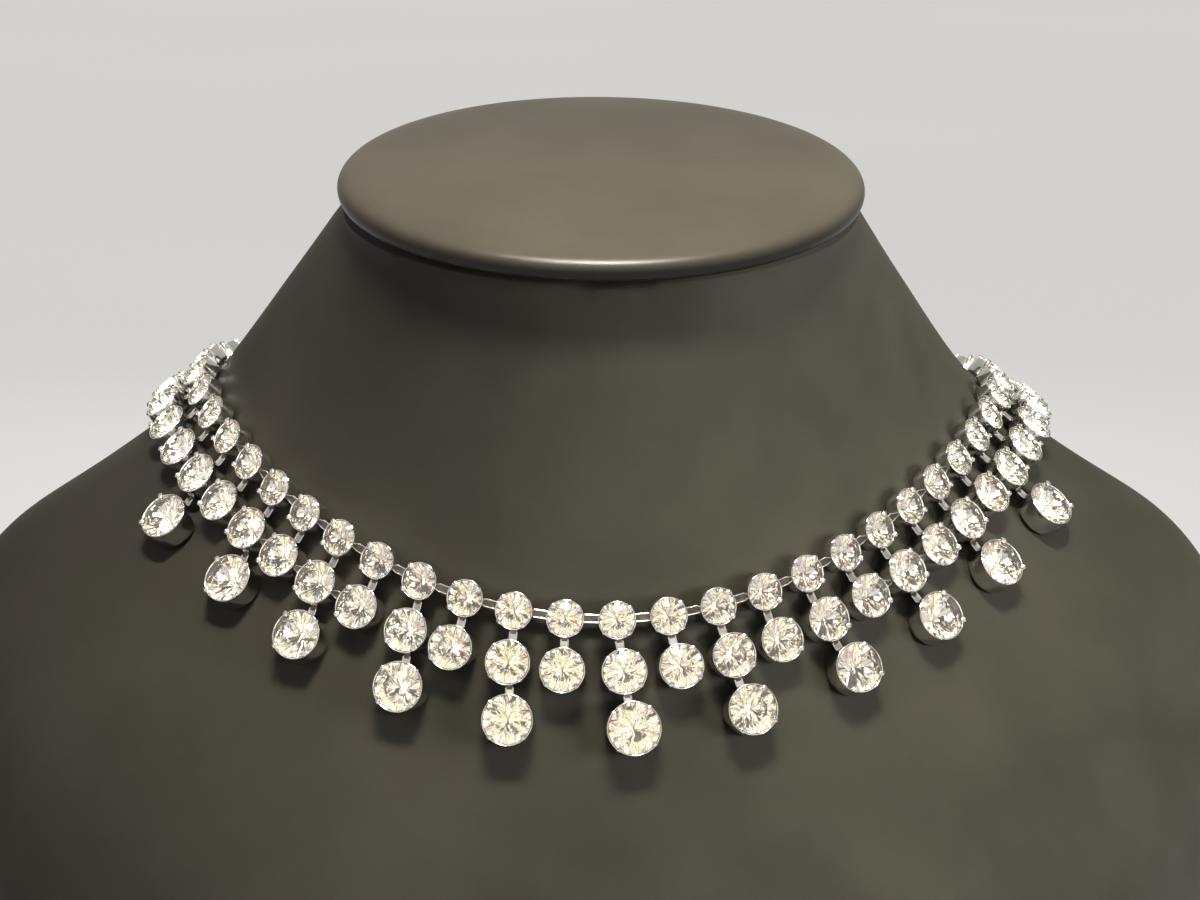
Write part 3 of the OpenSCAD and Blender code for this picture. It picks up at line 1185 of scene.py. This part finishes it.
def add_light(name, spot, target, size, watts, tone=(1, 1, 1), beam=180, mirrored=False):
    """A soft light of (width, height), with its beam in degrees. A mirrored one shows in metal."""
    data = bpy.data.lights.new(name, "AREA")
    data.shape = "RECTANGLE"
    data.size, data.size_y = size
    data.energy = watts
    data.color = tone
    data.spread = math.radians(beam)
    light = bpy.data.objects.new(name, data)
    light.visible_glossy = mirrored
    light.visible_camera = False
    bpy.context.scene.collection.objects.link(light)
    aim(light, spot, target)


def make_lights(look, target):
    """The key light from above and the weaker ones that fill the sides and the back."""
    above, behind = (0, -0.26, 0.62), (0, 1, 0.3)
    right, left = (0.85, -0.62, 0.22), (-0.95, -0.2, 0.5)
    long, wide, square = (0.22, 0.08), (0.5, 0.3), (0.4, 0.4)
    add_light("key", above, target, long, look.key_power, look.key_colour, 30, mirrored=True)
    add_light("right", right, target, wide, look.right_power)
    add_light("left", left, target, square, look.left_power, look.left_colour)
    add_light("back", behind, target, wide, look.back_power, beam=70)


def make_camera(look, target):
    """The camera where the photo was taken from."""
    data = bpy.data.cameras.new("camera")
    data.sensor_width = 36
    data.lens = look.camera_lens
    data.clip_start = 0.01
    data.clip_end = 30
    camera = bpy.data.objects.new("camera", data)
    bpy.context.scene.collection.objects.link(camera)
    down, turn = look.camera_angle, look.camera_turn
    level = math.cos(down)
    back = Vector((-math.sin(turn) * level, -math.cos(turn) * level, math.sin(down)))
    aim(camera, target + look.camera_distance * back, target)
    bpy.context.scene.camera = camera


def make_floor(look):
    """A plain pale floor that glows, so that no shadow darkens it much."""
    half = look.floor_size / 2
    shape = Shape()
    corners = [(-half, -half, 0), (half, -half, 0), (half, half, 0), (-half, half, 0)]
    shape.add(corners, [[0, 1, 2, 3]], Matrix.Identity(4))
    material, tree, shader, spot = new_material("pale_floor")
    cloudy = noise(tree, spot, 0.6, detail=2)
    pale = times(look.floor_colour, 0.97)
    tint = shades(tree, cloudy, [(0.3, pale), (0.7, look.floor_colour)])
    feed(
        shader,
        [
            ("Base Color", (*times(look.floor_colour, look.floor_matt), 1)),
            ("Roughness", 0.8),
            ("Emission Color", tint),
            ("Emission Strength", look.floor_glow),
        ],
    )
    floor = shape.piece("floor", [material])


def make_sky(look):
    """Light from all round: warm low down, and even above, but for the studio's dark parts.

    The dark parts are above and in the middle of the front, and only the stones show them. The
    sky has a strength for stones, one for other shiny things and one for matt things.
    """
    world = bpy.data.worlds.new("studio")
    world.use_nodes = True
    tree = world.node_tree
    way = add_node(tree, "ShaderNodeTexCoord").outputs["Generated"]
    part = add_node(tree, "ShaderNodeSeparateXYZ", [("Vector", way)]).outputs
    width = add_node(tree, "ShaderNodeMath", [(0, part["X"])], operation="ABSOLUTE")
    aside = width.outputs["Value"]
    high = spread(tree, part["Z"], 0, 1, 0.2, 0.4)
    forward = spread(tree, part["Y"], 1, 0, -0.6, -0.1)
    in_front = spread(tree, aside, forward, 0, 0.3, 0.65)

    scale = [("Scale", 3.2), ("Detail", 1.5)]
    patches = add_node(tree, "ShaderNodeTexNoise", [("Vector", way), *scale]).outputs["Fac"]
    dark, grey, bright = (0.02, 0.02, 0.02), (0.6, 0.58, 0.54), (1.0, 0.98, 0.92)
    broken = shades(tree, patches, [(0.48, dark), (0.52, grey), (0.6, bright)])

    path = add_node(tree, "ShaderNodeLightPath").outputs
    from_stone = path["Is Transmission Ray"]
    upper = mixed(tree, spread(tree, from_stone, 0, in_front, 0, 1), look.side_colour, broken)
    in_stones = spread(tree, in_front, look.side_strength, look.sky_strength, 0, 1)
    behind = spread(tree, aside, look.sky_shine, look.side_shine, 0.1, 0.8)
    on_metal = spread(tree, in_front, behind, look.front_shine, 0, 1)
    shiny = spread(tree, from_stone, on_metal, in_stones, 0, 1)
    seen = [
        ("Color", mixed(tree, high, look.horizon_colour, upper)),
        ("Strength", spread(tree, path["Is Diffuse Ray"], shiny, look.sky_shade, 0, 1)),
    ]
    feed(tree.nodes["Background"], seen)
    bpy.context.scene.world = world


class MakeStage(bpy.types.Operator):
    """Make the floor, the lights and the camera"""

    bl_idname = "necklace.make_stage"
    bl_label = "Stage"

    def execute(self, context):
        look = looks().stage
        target = Vector(look.camera_aim)
        make_floor(look)
        make_sky(look)
        make_lights(look, target)
        make_camera(look, target)
        bpy.context.scene.view_settings.view_transform = "Standard"
        return {"FINISHED"}


STEPS = [
    MakeBust,
    MakeCap,
    MakeFirstRow,
    MakeSecondRow,
    MakeShortDrops,
    MakeLargeDrops,
    MakeClasp,
    MakeStage,
]


class NecklacePanel(bpy.types.Panel):
    """Makes the necklace's pieces one by one and shows their sizes and colours"""

    bl_idname = "VIEW3D_PT_rhinestone_necklace"
    bl_label = "Rhinestone Necklace"
    bl_space_type = "VIEW_3D"
    bl_region_type = "UI"
    bl_category = "Necklace"

    def draw(self, context):
        layout = self.layout
        for step in STEPS:
            layout.operator(step.bl_idname)
        everything = context.scene.rhinestone_necklace
        for group in (everything.metal, everything.stone, everything.bust, everything.stage):
            box = layout.box()
            for name in group.bl_rna.properties.keys():
                if name not in ("rna_type", "name"):
                    box.prop(group, name)


CLASSES = [MetalLook, StoneLook, BustLook, StageLook, NecklaceLooks, *STEPS, NecklacePanel]


def register():
    for cls in CLASSES:
        bpy.utils.register_class(cls)
    bpy.types.Scene.rhinestone_necklace = PointerProperty(type=NecklaceLooks)


def unregister():
    del bpy.types.Scene.rhinestone_necklace
    for cls in reversed(CLASSES):
        bpy.utils.unregister_class(cls)


def main():
    register()
    for step in STEPS:
        group, name = step.bl_idname.split(".")
        getattr(getattr(bpy.ops, group), name)()


if __name__ == "__main__":
    main()
